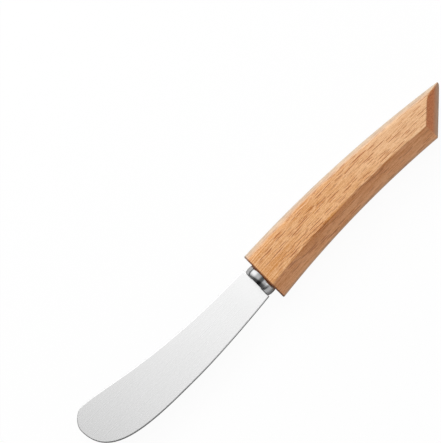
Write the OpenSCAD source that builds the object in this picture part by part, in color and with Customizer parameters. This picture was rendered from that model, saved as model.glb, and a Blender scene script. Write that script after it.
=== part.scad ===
// Butter knife: a stamped steel blade whose tang runs through a round ferrule
// into an arched wooden handle with six bevelled sides and a slanted butt.
// X runs along the tang from the nose of the blade to the butt, Y points to
// the spine side and Z up. The origin lies on the handle's lower broad face,
// below the tang's axis, at the waist of the handle.

/* [Blade] */
// Length of the blade, from its shoulders to its nose
blade_len = 80.2; // [65:0.2:105]
// Thickness of the sheet that blade and tang are stamped from
steel_t = 1.2; // [1:0.1:2]
// Width of the blade at its shoulders
root_w = 13.3; // [12.5:0.1:16]
// How far the middle of the shoulders lies above the tang's axis
root_rise = 0.3; // [0:0.05:0.6]
// Height of the spine's highest point above the tang's axis
tip_rise = 13.6; // [10:0.2:18]
// Height of the nose, the foremost point, above the tang's axis
nose_rise = 7.5; // [5:0.1:8.5]
// Depth of the belly's lowest point below the tang's axis
belly_drop = 8.9; // [7.5:0.1:12]
// Width of the eased edge that runs round both faces of the blade
edge_ease = 0.25; // [0.1:0.05:0.45]

/* [Tang] */
// Reach of the tang into the handle, from the handle's front face
tang_reach = 38; // [25:1:50]
// Width of the tang
tang_w = 5; // [4:0.1:5.6]
// Depth of the notches that key the tang in its adhesive
notch_depth = 0.6; // [0.3:0.1:1]

/* [Ferrule] */
// Diameter of the ferrule
ferrule_d = 12; // [11:0.2:13]
// Length of the ferrule that shows between blade and handle
ferrule_len = 3.4; // [2.4:0.1:8]
// Length of the shallow cone on which the collar falls to its front rim
rim_len = 1; // [0.5:0.1:1.2]
// How much the collar's radius falls on that cone
rim_drop = 0.36; // [0.1:0.02:0.6]
// Length of the fainter cone at the collar's other end, against the wood
back_len = 0.9; // [0.3:0.1:0.9]
// How much the collar's radius falls there
back_drop = 0.12; // [0.04:0.02:0.2]
// Diameter of the spigot that centres the ferrule in the handle
spigot_d = 9; // [7.5:0.1:10]
// Length of the spigot
spigot_len = 4; // [2:0.5:8]

/* [Handle] */
// Length of the handle, from its front face to the blunted point of its butt
handle_len = 91.8; // [80:0.2:115]
// Thickness of the handle across its two broad faces
handle_t = 13.4; // [13.2:0.2:18]
// Width of the handle at its front face, ridge to ridge
front_w = 20.7; // [19:0.1:26]
// Radius of the arched ridge on the spine side
spine_r = 470; // [350:10:900]
// Distance from the front face to the crown of the spine side
crown_at = 22; // [10:1:40]
// Radius of the hollow ridge on the belly side
belly_r = 380; // [300:10:900]
// Distance from the front face to the waist of the belly side
waist_at = 46; // [30:1:55]
// Inset of the long bevels, from a ridge to the broad face
bevel_w = 4; // [2:0.1:5]
// Inset of the bevels on the slanted butt
butt_bevel_w = 3.3; // [1.5:0.1:4]
// Angle between the slanted butt and the tang's axis
butt_angle = 44; // [35:1:70]
// Length taken off the sharp point where the butt meets the spine side
tip_blunt = 0.7; // [0.2:0.1:1.5]
// Height of the narrow flat left along every ridge
ridge_t = 0.6; // [0.2:0.1:1.5]

/* [Bore] */
// Diameter of the bore that holds tang and adhesive
bore_d = 6.4; // [6.2:0.1:7]
// Depth of the bore past the end of the tang
bore_spare = 2; // [1:0.5:6]
// Angle of the cone that the drill's point leaves
drill_angle = 118; // [90:1:140]

/* [Hidden] */

// Clearance round the tang in the ferrule's slot
slot_gap = 0.1;
// Clearance round the spigot in its counterbore
spigot_gap = 0.05;
// Clearance ahead of the spigot's end
seat_gap = 0.2;
// Overrun of every cut
overrun = 1;

// The shoulders of the blade stand on the ferrule's front face
shoulder_x = -ferrule_len;
nose_x = shoulder_x - blade_len;

// Knots of the blade's outline, from the spine's shoulder round to the belly's
tip_at_share = 0.929;
belly_at_share = 0.475;
spine_knot = [shoulder_x, root_rise + root_w / 2];
tip_knot = [shoulder_x - tip_at_share * blade_len, tip_rise];
nose_knot = [nose_x, nose_rise];
belly_knot = [shoulder_x - belly_at_share * blade_len, -belly_drop];
heel_knot = [shoulder_x, root_rise - root_w / 2];
// Pull of each stretch's two handles, as shares of the way between its knots
spine_pull_shares = [[0.61, -0.19], [0.13, 0]];
tip_pull_shares = [[0.41, 0], [0, 0.45]];
nose_pull_shares = [[0, 1], [0.53, 0]];
belly_pull_shares = [[0.34, 0], [0.16, 0.27]];

// Places of the two pairs of notches along the tang, and their half length
notch_at_shares = [0.4, 0.7];
notch_half_share = 0.04;
// Taper of the tang's end, along and across
end_taper_shares = [0.12, 0.5];

// Centres of the two ridge arcs: both ridges start at the front face
spine_cy = front_w / 2 - sqrt(pow(spine_r, 2) - pow(crown_at, 2));
belly_cy = -front_w / 2 - sqrt(pow(belly_r, 2) - pow(waist_at, 2));
// The butt's sharp point, before it is blunted, lies on the spine's ridge
point_x = handle_len + tip_blunt;
point_y = spine_cy + sqrt(pow(spine_r, 2) - pow(point_x - crown_at, 2));

counterbore_len = spigot_len + seat_gap;
bore_len = tang_reach + bore_spare;
drill_point_len = bore_d / 2 / tan(drill_angle / 2);

ridge_fn = 720;
round_fn = 96;

// Points of a cubic stretch from knot a towards knot b, without b itself
function stretch(a, b, pull_shares, steps) =
    let (way = b - a)
    let (c = a + [way.x * pull_shares[0].x, way.y * pull_shares[0].y])
    let (d = b - [way.x * pull_shares[1].x, way.y * pull_shares[1].y])
    [for (i = [0 : steps - 1])
        let (t = i / steps, s = 1 - t)
        s * s * s * a + 3 * s * s * t * c + 3 * s * t * t * d + t * t * t * b];

// Outline of the blade, counterclockwise from the spine's shoulder to the belly's
blade_line = concat(
    stretch(spine_knot, tip_knot, spine_pull_shares, 22),
    stretch(tip_knot, nose_knot, tip_pull_shares, 9),
    stretch(nose_knot, belly_knot, nose_pull_shares, 22),
    stretch(belly_knot, heel_knot, belly_pull_shares, 8),
    [heel_knot]);

// One notch in the tang's edge, which lies half a tang's width from the axis
function notch(at) =
    let (half = notch_half_share * tang_reach)
    [[at - half, tang_w / 2], [at, tang_w / 2 - notch_depth], [at + half, tang_w / 2]];

// Upper edge of the tang, from the shoulder to its end
tang_edge = concat(
    [[shoulder_x, tang_w / 2]],
    [for (share = notch_at_shares) each notch(share * tang_reach)],
    [[tang_reach * (1 - end_taper_shares.x), tang_w / 2],
     [tang_reach, tang_w / 2 * end_taper_shares.y]]);

// Whole tang, counterclockwise from the belly's side of the shoulder
tang_line = concat(
    [for (p = tang_edge) [p.x, -p.y]],
    [for (i = [len(tang_edge) - 1 : -1 : 0]) tang_edge[i]]);

// Outward direction at a point of the blade's outline, square at the shoulders
function outward(i) =
    i == 0 ? [0, 1] :
    i == len(blade_line) - 1 ? [0, -1] :
    let (along = blade_line[i + 1] - blade_line[i - 1])
    [along.y, -along.x] / norm(along);

// Outline of the blade at one height, drawn in by an inset
function blade_ring(inset, z) =
    [for (i = [0 : len(blade_line) - 1])
        let (p = blade_line[i] - inset * outward(i))
        [p.x, p.y, z]];

// Places a child's own frame, tang's axis along X at Z 0, in the part's frame
module in_part_frame() {
    translate([-waist_at, 0, handle_t / 2]) children();
}

// Solid through a stack of rings, each counterclockwise and with the same even
// count. Its ends are ladders of rungs between each ring's first and last halves.
module loft(rings) {
    n = len(rings[0]);
    last = (len(rings) - 1) * n;
    sides = [for (k = [0 : len(rings) - 2], i = [0 : n - 1])
        let (low = k * n + i, next = k * n + (i + 1) % n)
        each [[low, low + n, next + n], [low, next + n, next]]];
    rungs = [for (i = [0 : n / 2 - 2]) each [[i, i + 1, n - 2 - i], [i, n - 2 - i, n - 1 - i]]];
    lid = [for (t = rungs) [t[2] + last, t[1] + last, t[0] + last]];
    polyhedron([for (ring = rings) each ring], concat(sides, rungs, lid));
}

// Turns a profile, drawn with radius along X and length along Y, about the tang's axis
module turned(fn = round_fn) {
    rotate([0, 90, 0]) rotate_extrude($fn = fn) children();
}

module blade() {
    half = steel_t / 2;
    color("gainsboro")
        in_part_frame() {
            loft([
                blade_ring(edge_ease, -half),
                blade_ring(0, edge_ease - half),
                blade_ring(0, half - edge_ease),
                blade_ring(edge_ease, half)]);
            tang_form();
        }
}

module tang_form() {
    linear_extrude(steel_t, center = true) polygon(tang_line);
}

module ferrule() {
    slot = [ferrule_len + spigot_len + 2 * overrun, tang_w + 2 * slot_gap, steel_t + 2 * slot_gap];
    color("silver")
        in_part_frame()
            difference() {
                turned() ferrule_profile();
                translate([-ferrule_len - overrun, -slot.y / 2, -slot.z / 2]) cube(slot);
            }
}

// Barrelled collar, with a cone at either end, and the spigot behind it
module ferrule_profile() {
    collar_r = ferrule_d / 2;
    polygon([
        [0, shoulder_x],
        [collar_r - rim_drop, shoulder_x],
        [collar_r, shoulder_x + rim_len],
        [collar_r, -back_len],
        [collar_r - back_drop, 0],
        [spigot_d / 2, 0],
        [spigot_d / 2, spigot_len],
        [0, spigot_len]]);
}

// Disc with an arched edge that is bevelled to both broad faces
module spine_form() {
    translate([crown_at, spine_cy, 0])
        rotate_extrude($fn = ridge_fn)
            polygon([
                [0, -handle_t / 2],
                [spine_r - bevel_w, -handle_t / 2],
                [spine_r, -ridge_t / 2],
                [spine_r, ridge_t / 2],
                [spine_r - bevel_w, handle_t / 2],
                [0, handle_t / 2]]);
}

// Spool that hollows the belly side and bevels it to both broad faces
module belly_form() {
    translate([waist_at, belly_cy, 0])
        rotate_extrude($fn = ridge_fn)
            polygon([
                [0, -handle_t / 2 - overrun],
                [belly_r + bevel_w, -handle_t / 2 - overrun],
                [belly_r + bevel_w, -handle_t / 2],
                [belly_r, -ridge_t / 2],
                [belly_r, ridge_t / 2],
                [belly_r + bevel_w, handle_t / 2],
                [belly_r + bevel_w, handle_t / 2 + overrun],
                [0, handle_t / 2 + overrun]]);
}

// Everything ahead of the slanted butt, with the butt bevelled to both broad faces
module butt_form() {
    translate([point_x, point_y, 0])
        rotate([0, 0, butt_angle])
            rotate([90, 0, 90])
                linear_extrude(4 * handle_len, center = true)
                    polygon([
                        [0, -ridge_t / 2],
                        [0, ridge_t / 2],
                        [butt_bevel_w, handle_t / 2],
                        [2 * handle_len, handle_t / 2],
                        [2 * handle_len, -handle_t / 2],
                        [butt_bevel_w, -handle_t / 2]]);
}

// Bore for tang and adhesive, with the cone of the drill's point at its end
module bore_form(from) {
    turned() {
        translate([0, from]) square([bore_d / 2, bore_len - from]);
        polygon([[0, bore_len], [bore_d / 2, bore_len], [0, bore_len + drill_point_len]]);
    }
}

module counterbore_form() {
    turned() translate([0, -overrun])
        square([spigot_d / 2 + spigot_gap, counterbore_len + overrun]);
}

module handle() {
    color("burlywood")
        in_part_frame()
            difference() {
                intersection() {
                    spine_form();
                    butt_form();
                    translate([0, -handle_len, -handle_t])
                        cube([handle_len, 2 * handle_len, 2 * handle_t]);
                }
                belly_form();
                counterbore_form();
                bore_form(0);
            }
}

module tang_adhesive() {
    color("khaki")
        in_part_frame()
            difference() {
                bore_form(counterbore_len);
                tang_form();
            }
}

blade();
ferrule();
handle();
tang_adhesive();
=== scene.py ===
"""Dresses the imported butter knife: satin blade, polished ferrule, eased beech handle, plain studio."""

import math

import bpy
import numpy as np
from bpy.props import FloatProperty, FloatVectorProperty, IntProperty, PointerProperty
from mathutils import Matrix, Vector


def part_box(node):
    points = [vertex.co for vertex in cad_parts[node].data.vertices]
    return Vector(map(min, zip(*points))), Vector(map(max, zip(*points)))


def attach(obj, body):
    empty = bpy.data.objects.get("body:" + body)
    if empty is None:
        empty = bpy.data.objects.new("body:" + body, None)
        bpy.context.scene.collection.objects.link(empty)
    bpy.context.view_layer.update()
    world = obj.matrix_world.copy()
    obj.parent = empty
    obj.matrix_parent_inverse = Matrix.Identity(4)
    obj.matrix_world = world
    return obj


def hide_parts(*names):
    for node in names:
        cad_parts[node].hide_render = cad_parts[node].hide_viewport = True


bl_info = {
    "name": "Butter Knife Maker",
    "version": (1, 0, 0),
    "blender": (4, 5, 0),
    "location": "3D View > Sidebar > Knife",
    "description": "Makes the blade, ferrule and handle of a butter knife round its packed model",
    "category": "Add Mesh",
}

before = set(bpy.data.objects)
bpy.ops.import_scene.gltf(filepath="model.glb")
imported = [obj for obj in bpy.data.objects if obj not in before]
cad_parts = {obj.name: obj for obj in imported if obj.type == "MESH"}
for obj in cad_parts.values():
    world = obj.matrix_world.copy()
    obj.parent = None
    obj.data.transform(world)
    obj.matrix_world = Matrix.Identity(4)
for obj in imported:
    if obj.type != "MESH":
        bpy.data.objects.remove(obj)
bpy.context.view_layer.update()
BLADE_LOW, BLADE_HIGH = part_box("blade")
FERRULE_LOW, FERRULE_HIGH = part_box("ferrule")
HANDLE_LOW, HANDLE_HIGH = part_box("handle")

# The tang's axis starts at the handle's front face, half way up its thickness
FRONT_X = HANDLE_LOW.x
AXIS_Z = (HANDLE_LOW.z + HANDLE_HIGH.z) / 2

PHOTO_WIDTH, PHOTO_HEIGHT = 441, 443
SENSOR_WIDTH = 36.0


def length(name, description, default):
    """A size in metres that the sidebar shows as a length."""
    return FloatProperty(name=name, description=description, default=default, min=0.0,
                         precision=5, unit="LENGTH", subtype="DISTANCE")


def angle(name, description, degrees):
    """An angle that the sidebar shows in degrees."""
    return FloatProperty(name=name, description=description, default=math.radians(degrees),
                         subtype="ANGLE")


def share(name, description, default, highest=1.0):
    """A plain number from nought upwards."""
    return FloatProperty(name=name, description=description, default=default, min=0.0, max=highest)


def colour(name, description, default):
    """A linear colour."""
    return FloatVectorProperty(name=name, description=description, default=default, size=3,
                               min=0.0, max=1.0, subtype="COLOR")


class KnifeBlade(bpy.types.PropertyGroup):
    """Sizes and finish of the blade and its tang."""
    shoulder_width: length("Shoulder width", "Width of the blade where it meets the ferrule",
                           0.0133)
    shoulder_rise: length("Shoulder rise", "Height of the shoulders' middle above the tang's axis",
                          0.0003)
    tip_rise: length("Tip rise", "Height of the spine's highest point above the tang's axis",
                     BLADE_HIGH.y)
    nose_rise: length("Nose rise", "Height of the nose above the tang's axis", 0.0075)
    belly_drop: length("Belly drop", "Depth of the belly's lowest point below the tang's axis",
                       -BLADE_LOW.y)
    edge_round: length("Edge rounding", "Radius of the eased edges of the sheet", 0.00025)
    tang_width: length("Tang width", "Width of the tang inside the handle", 0.005)
    notch_depth: length("Notch depth", "Depth of the notches that key the tang", 0.0006)
    steel: colour("Steel", "Colour of the satin faces", (0.92, 0.92, 0.92))
    # The cut edge's colour is partly its duller sheared steel, partly painted shade.
    dull_and_shaded_edge: colour("Cut edge", "Colour of the sheet's cut edge", (0.20, 0.20, 0.205))
    roughness: share("Roughness", "Roughness of the satin faces", 0.27)
    root_polish: share("Root polish", "How much smoother the faces are next to the ferrule", 0.05)


class KnifeFerrule(bpy.types.PropertyGroup):
    """Sizes and finish of the turned ferrule."""
    rim_length: length("Rim length", "Length of the collar's cone on the blade's side", 0.0010)
    rim_drop: length("Rim drop", "How much smaller the collar's radius is at its rim", 0.00036)
    rim_blend: length("Rim blend", "Radius that blends the rim's cone into the collar", 0.0043)
    back_length: length("Back length", "Length of the collar's cone on the handle's side", 0.0009)
    back_drop: length("Back drop", "How much smaller the collar's radius is at the handle", 0.00012)
    back_blend: length("Back blend", "Radius that blends the back cone into the collar", 0.005)
    edge_break: length("Edge break", "Radius of the broken edges", 0.00022)
    spigot_diameter: length("Spigot diameter", "Diameter of the part inside the handle", 0.009)
    slot_width: length("Slot width", "Width of the slot for the tang", 0.0052)
    slot_height: length("Slot height", "Height of the slot for the tang", 0.0014)
    segments: IntProperty(name="Segments", description="Faces round the ferrule", default=128,
                          min=24, max=256)
    steel: colour("Steel", "Colour of the polished steel", (0.44, 0.44, 0.443))
    roughness: share("Roughness", "Roughness of the polished steel", 0.10)


class KnifeHandle(bpy.types.PropertyGroup):
    """Sizes and wood of the handle."""
    front_width: length("Front width", "Width of the front face, ridge to ridge", 0.0207)
    spine_radius: length("Spine radius", "Radius of the arched ridge on the spine side", 0.470)
    crown_from_front: length("Crown", "Distance from the front face to the crown", 0.022)
    belly_radius: length("Belly radius", "Radius of the hollow ridge on the belly side", 0.380)
    waist_from_front: length("Waist", "Distance from the front face to the waist", 0.046)
    bevel_inset: length("Bevel inset", "Inset of the long bevels from ridge to broad face", 0.004)
    butt_bevel_inset: length("Butt bevel inset", "Inset of the bevels on the butt", 0.0033)
    butt_angle: angle("Butt angle", "Angle between the butt and the tang's axis", 44.0)
    point_blunt: length("Point blunting", "Length taken off the butt's sharp point", 0.0007)
    point_blend: length("Point blend", "Softness of the blunted point", 0.0006)
    ridge_flat: length("Ridge flat", "Height of the flat that every ridge is rounded from", 0.0006)
    arris_radius: length("Arris radius", "Radius of the belly side's sanded arrises", 0.0005)
    spine_arris_radius: length("Spine arris radius", "Radius of the spine side's softer arrises",
                               0.0028)
    sanding: length("Sanding", "How far hand sanding let the arrises wander", 0.00006)
    end_radius: length("End radius", "Radius of the sanded edges at front and butt", 0.00045)
    bore_diameter: length("Bore diameter", "Diameter of the bore for the tang", 0.0064)
    bore_depth: length("Bore depth", "Depth of the bore's full diameter", 0.040)
    counterbore_diameter: length("Counterbore diameter", "Diameter of the ferrule's seat", 0.0091)
    counterbore_depth: length("Counterbore depth", "Depth of the ferrule's seat", 0.0042)
    pale_wood: colour("Pale wood", "Colour of the paler growth", (0.87, 0.512, 0.258))
    deep_wood: colour("Deep wood", "Colour of the deeper growth", (0.60, 0.228, 0.037))
    fleck_strength: share("Flecks", "Strength of the dark flecks", 1.0)
    fleck_tint: colour("Fleck tint", "How much of the wood's colour is left in a fleck",
                       (0.47, 0.21, 0.02))
    fleck_border: share("Fleck border", "How much paler the wood is round a fleck", 0.27)
    # Painted shade: the side tint makes the belly side's bevels darker and deeper in colour.
    belly_shade_tint: colour("Side tint", "How the wood's colour changes on the belly side's bevels",
                      (0.99, 0.84, 0.79))
    # Painted sheen: the spine side's bevels turn towards this paler, greyer colour.
    spine_sheen_tint: colour("Spine tint", "Greyer colour towards which the spine side's bevels turn",
                       (0.58, 0.485, 0.365))
    rear_tint: colour("Rear tint", "Paler colour towards which the wood turns near the butt",
                      (0.95, 0.77, 0.57))
    # The arris tint is painted shade: it darkens the spine side's arrises, most towards the butt.
    arris_shade_tint: colour("Arris tint", "How handling darkens the spine side's arrises",
                       (0.87, 0.86, 0.85))
    end_tint: colour("End tint", "How the wood's colour changes on end grain", (0.84, 0.545, 0.335))
    # Painted shade: the ridges of the butt and of the belly side turn towards this darker, greyer
    # colour.
    ridge_shade: colour("Burnished", "Greyer colour of the wood that handling burnished along its ridges",
                      (0.53, 0.32, 0.20))
    # The eased front edge's tint is partly oiled end grain, partly painted shade.
    edge_oil_and_shade: colour("Edge tint", "How oil darkens the eased front edge", (0.36, 0.29, 0.26))
    grain_slope: FloatProperty(name="Grain slope", default=0.07,
                               description="Slope of the grain at the handle's front")
    grain_bend: FloatProperty(name="Grain bend", default=1.05,
                              description="Loss of the grain's slope in each metre")
    roughness: share("Roughness", "Roughness of the sanded wood", 0.55)
    oil: share("Oil", "Strength of the thin coat of oil", 0.6)


class KnifeStage(bpy.types.PropertyGroup):
    """Floor, lamps and camera."""
    lens: FloatProperty(name="Lens", description="Focal length in millimetres", default=200.0,
                        min=20.0, max=400.0)
    elevation: angle("Elevation", "Height of the camera above the floor's plane", 73.0)
    roll: angle("Roll", "Turn of the picture, so that the tang's axis rises in it", 44.95)
    anchor_x: FloatProperty(name="Anchor X", default=263.75, description=(
        "Place in the picture of the tang's axis at the handle's front, in pixels from the left"))
    anchor_y: FloatProperty(name="Anchor Y", default=277.2, description=(
        "Place in the picture of the tang's axis at the handle's front, in pixels from the top"))
    pixel_size: length("Pixel size", "Size of one pixel of the picture at the knife", 0.0003506)
    ambient: share("Ambient", "Strength of the light from all round", 0.32, 2.0)
    key: share("Key lamp", "Power of the large lamp on the spine side, in watts", 4.2, 50.0)
    top: share("Top lamp", "Power of the lamp overhead, in watts", 1.5, 50.0)
    fill: share("Fill lamp", "Power of the low lamp on the belly side, in watts", 0.4, 50.0)
    fade_from: FloatProperty(name="Fade from", default=-0.37, unit="LENGTH", subtype="DISTANCE",
                             description="Where over the nose the tent is dimmest")
    fade_to: FloatProperty(name="Fade to", default=0.18, unit="LENGTH", subtype="DISTANCE",
                           description="Where the tent reaches its full brightness")
    fade_low: share("Fade low", "Brightness of the tent where it is dimmest", 0.36)
    fade_high: share("Fade high", "Brightness of the tent where it is brightest", 1.36, 3.0)
    dark_from: FloatProperty(name="Dark from", default=-0.27, unit="LENGTH", subtype="DISTANCE",
                             description="Where the tent's dark end is darkest")
    dark_to: FloatProperty(name="Dark to", default=-0.11, unit="LENGTH", subtype="DISTANCE",
                           description="Where the tent's dark end stops")
    dark_level: share("Dark level", "Share of the light that is left in the dark end", 0.31)
    back_from: length("Back from", "Where the tent starts to dim towards the butt", 0.0)
    back_to: length("Back to", "Where the tent has dimmed towards the butt", 0.20)
    back_level: share("Back level", "Share of the light that is left there", 0.63)
    slant: share("Slant", "How far the tent's dark end reaches on the belly side", 0.25)
    end_wall: share("End wall", "Brightness of the tent's end wall beyond the nose", 0.08)
    floor: colour("Floor", "Colour of the floor", (0.96, 0.96, 0.96))
    floor_glow: share("Floor glow", "Share of plain white in the floor that is seen", 0.95)
    floor_mirrored: share("Floor mirrored", "How much of that glow metal mirrors", 0.08)
    # Painted shadow: metal mirrors the floor darker near the knife, out to the shadow reach.
    mirrored_floor_shadow: share("Floor near", "Share of the far floor's light that metal mirrors nearby", 0.22)
    shadow_reach: length("Near reach", "Distance from the knife's axis at which that ends", 0.025)


class KnifeSettings(bpy.types.PropertyGroup):
    """All sizes and finishes of the knife and its stage."""
    blade: PointerProperty(type=KnifeBlade)
    ferrule: PointerProperty(type=KnifeFerrule)
    handle: PointerProperty(type=KnifeHandle)
    stage: PointerProperty(type=KnifeStage)


# Mesh helpers

def linked(name, data):
    """A new object at the origin, in the scene."""
    made = bpy.data.objects.new(name, data)
    bpy.context.scene.collection.objects.link(made)
    return made


def ring_walls(count, rings):
    """Faces between rings that follow one another, each of the same number of points."""
    return [(low + i, low + (i + 1) % count, low + count + (i + 1) % count, low + count + i)
            for low in range(0, (rings - 1) * count, count) for i in range(count)]


def piece_from(name, vertices, faces):
    """A smooth-shaded mesh object at the origin, from points in the frame, facing outwards."""
    mesh = bpy.data.meshes.new(name)
    mesh.from_pydata([tuple(v) for v in vertices], [], [tuple(f) for f in faces])
    mesh.validate()
    mesh.update()
    if signed_volume(mesh) < 0:
        mesh.flip_normals()
    mesh.shade_smooth()
    return linked(name, mesh)


def signed_volume(mesh):
    """Volume inside a closed mesh, below nought where its faces point inwards."""
    mesh.calc_loop_triangles()
    points = np.array([v.co for v in mesh.vertices], float)
    corners = points[np.array([t.vertices for t in mesh.loop_triangles], int)]
    return float(np.einsum("ij,ij->i", corners[:, 0],
                           np.cross(corners[:, 1], corners[:, 2])).sum() / 6)


def note(piece, name, values):
    """Keeps one number a point on the mesh, for its material."""
    kept = piece.data.attributes.new(name, "FLOAT", "POINT")
    kept.data.foreach_set("value", np.asarray(values, np.float32))


def point_normals(piece):
    """Directions in which the points of a mesh face."""
    normals = np.empty(len(piece.data.vertices) * 3, np.float32)
    piece.data.vertex_normals.foreach_get("vector", normals)
    return normals.reshape(-1, 3)


def hand_over(piece, node, material):
    """Gives a finished piece its material and puts it in the place of its CAD node."""
    piece.data.materials.clear()
    piece.data.materials.append(material)
    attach(piece, "root")
    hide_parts(node)


def rounded_corner(corner, before, after, radius, steps):
    """Points of the arc that rounds a corner, from the side of before to that of after."""
    corner, before, after = (np.array(p, float) for p in (corner, before, after))
    back = (before - corner) / np.linalg.norm(before - corner)
    ahead = (after - corner) / np.linalg.norm(after - corner)
    half = math.acos(np.clip(back @ ahead, -1, 1)) / 2
    reach = radius / math.tan(half)
    centre = corner + (back + ahead) / np.linalg.norm(back + ahead) * radius / math.sin(half)
    start, end = corner + back * reach - centre, corner + ahead * reach - centre
    turn = math.pi - 2 * half
    return [centre + (start * math.sin((1 - t) * turn) + end * math.sin(t * turn)) / math.sin(turn)
            for t in np.linspace(0, 1, steps + 1)]


# Blade

SPINE_PULLS = ((0.61, -0.19), (0.13, 0.0))
TIP_PULLS = ((0.41, 0.0), (0.0, 0.45))
NOSE_PULLS = ((0.0, 1.0), (0.53, 0.0))
BELLY_PULLS = ((0.34, 0.0), (0.16, 0.27))
TIP_AT, BELLY_AT = 0.929, 0.475
NOTCH_AT, NOTCH_HALF = (0.4, 0.7), 0.04
TANG_TAPER = (0.12, 0.5)
CURVE_STEPS = 240
RUNGS = 120
NOSE_RUNGS = 9
ROUND_STEPS = 4
# Ease of the faces inside the rounding, as a share of its radius
FACE_EASE = 1.5
# How upright a point's normal is where the cut edge ends and the satin face begins
CUT_EDGE_FROM, CUT_EDGE_SPAN = 0.35, 0.45


def stretch(start, end, pulls):
    """Points of a cubic stretch whose two handles are shares of the way between its ends."""
    way = end - start
    first, second = start + way * pulls[0], end - way * pulls[1]
    t = np.linspace(0, 1, CURVE_STEPS)[:, None]
    return ((1 - t) ** 3 * start + 3 * (1 - t) ** 2 * t * first
            + 3 * (1 - t) * t ** 2 * second + t ** 3 * end)


def evenly(points, count):
    """Points along a line at rungs that draw together towards its end."""
    gone = np.concatenate([[0], np.cumsum(np.linalg.norm(np.diff(points, axis=0), axis=1))])
    wanted = gone[-1] * np.sin(np.linspace(0, math.pi / 2, count))
    return np.stack([np.interp(wanted, gone, points[:, k]) for k in (0, 1)], axis=1)


def blade_outline(sizes):
    """Upper and lower chain of the blank, from the tang's end to the nose, which they share."""
    shoulder_x, nose_x = FERRULE_LOW.x, BLADE_LOW.x
    reach, blade_length = BLADE_HIGH.x - FRONT_X, shoulder_x - nose_x
    half_root, half_tang = sizes.shoulder_width / 2, sizes.tang_width / 2
    middle = sizes.shoulder_rise
    tip = np.array([shoulder_x - TIP_AT * blade_length, sizes.tip_rise])
    nose = np.array([nose_x, sizes.nose_rise])
    belly = np.array([shoulder_x - BELLY_AT * blade_length, -sizes.belly_drop])
    top, heel = (np.array([shoulder_x, middle + side]) for side in (half_root, -half_root))
    spine_side = np.concatenate([stretch(top, tip, SPINE_PULLS), stretch(tip, nose, TIP_PULLS)[1:]])
    belly_side = np.concatenate([stretch(nose, belly, NOSE_PULLS),
                                 stretch(belly, heel, BELLY_PULLS)[1:]])[::-1]
    edge = [(FRONT_X + reach, half_tang * TANG_TAPER[1]),
            (FRONT_X + reach * (1 - TANG_TAPER[0]), half_tang)]
    for at in NOTCH_AT[::-1]:
        edge += [(FRONT_X + reach * (at + NOTCH_HALF), half_tang),
                 (FRONT_X + reach * at, half_tang - sizes.notch_depth),
                 (FRONT_X + reach * (at - NOTCH_HALF), half_tang)]
    edge.append((shoulder_x, half_tang))
    edge = np.array(edge)
    return (np.concatenate([edge, evenly(spine_side, RUNGS)]),
            np.concatenate([edge * (1, -1), evenly(belly_side, RUNGS)]))


def drawn_in(outline, inset):
    """A closed outline moved inwards by an inset, with its corners kept square."""
    ahead = np.roll(outline, -1, axis=0) - outline
    ahead /= np.linalg.norm(ahead, axis=1)[:, None]
    normals = np.stack([-ahead[:, 1], ahead[:, 0]], axis=1)
    both = normals + np.roll(normals, 1, axis=0)
    both /= (both * normals).sum(axis=1)[:, None]
    return outline + both * inset


def make_blade(sizes):
    """Blade and tang as one blank, with every edge of the sheet rounded."""
    upper, lower = blade_outline(sizes)
    outline = np.concatenate([upper, lower[-2::-1]])
    area = np.cross(outline, np.roll(outline, -1, axis=0)).sum()
    inwards = 1 if area > 0 else -1
    half, middle = (BLADE_HIGH.z - BLADE_LOW.z) / 2, (BLADE_HIGH.z + BLADE_LOW.z) / 2
    turns = np.linspace(0, math.pi / 2, ROUND_STEPS + 1)
    levels = [(sizes.edge_round * FACE_EASE, half)]
    levels += [(sizes.edge_round * (1 - math.sin(t)), half - sizes.edge_round * (1 - math.cos(t)))
               for t in turns]
    levels += [(inset, -height) for inset, height in levels[::-1]]
    count = len(outline)
    vertices = []
    for inset, height in levels:
        ring = drawn_in(outline, inwards * inset)
        vertices += [(x, y, middle + height) for x, y in ring]
    faces = ring_walls(count, len(levels))
    # Each lid is a ladder of rungs; those where tang meets blade and those at the nose share a face
    tang_end = len(upper) - RUNGS - 1
    nose = count // 2 - NOSE_RUNGS
    for base, flip in ((0, False), ((len(levels) - 1) * count, True)):
        lid = [(base + i, base + count - 1 - i, base + count - 2 - i, base + i + 1)
               for i in range(nose) if i not in (tang_end, tang_end + 1)]
        lid.append((*(base + tang_end + i for i in (2, 1, 0)),
                    *(base + count - 1 - tang_end - i for i in (0, 1, 2))))
        lid.append((base + nose, *range(base + count - 1 - nose, base + nose, -1)))
        faces += [face[::-1] for face in lid] if flip else lid
    piece = piece_from("blade_blank", vertices, faces)
    upright = np.abs(point_normals(piece)[:, 2])
    note(piece, "cut", 1 - np.clip((upright - CUT_EDGE_FROM) / CUT_EDGE_SPAN, 0, 1))
    return piece


# Handle

ACROSS_STEPS = 22
ALONG_STEPS = 84
ARRIS_STEPS = 6
RIDGE_STEPS = 10
EASE_STEPS = 8
BEVEL_SHARES = (0.04, 0.25, 0.5, 0.75, 0.96)
FACE_SUPPORT = 0.0002
SANDING_WAVES = ((0.047, 0.4), (0.021, 2.1), (0.0125, 5.0))
DRILL_HALF_ANGLE = math.radians(59)
EDGE_ROUNDS, EDGE_PROBE = 12, 1e-5
BORE_STEPS, SEAT_STEPS = 9, 4
FRONT_SHARES = (0.25, 0.5, 0.75, 0.95)
END_SHARES = (0.003, 0.997)


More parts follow.
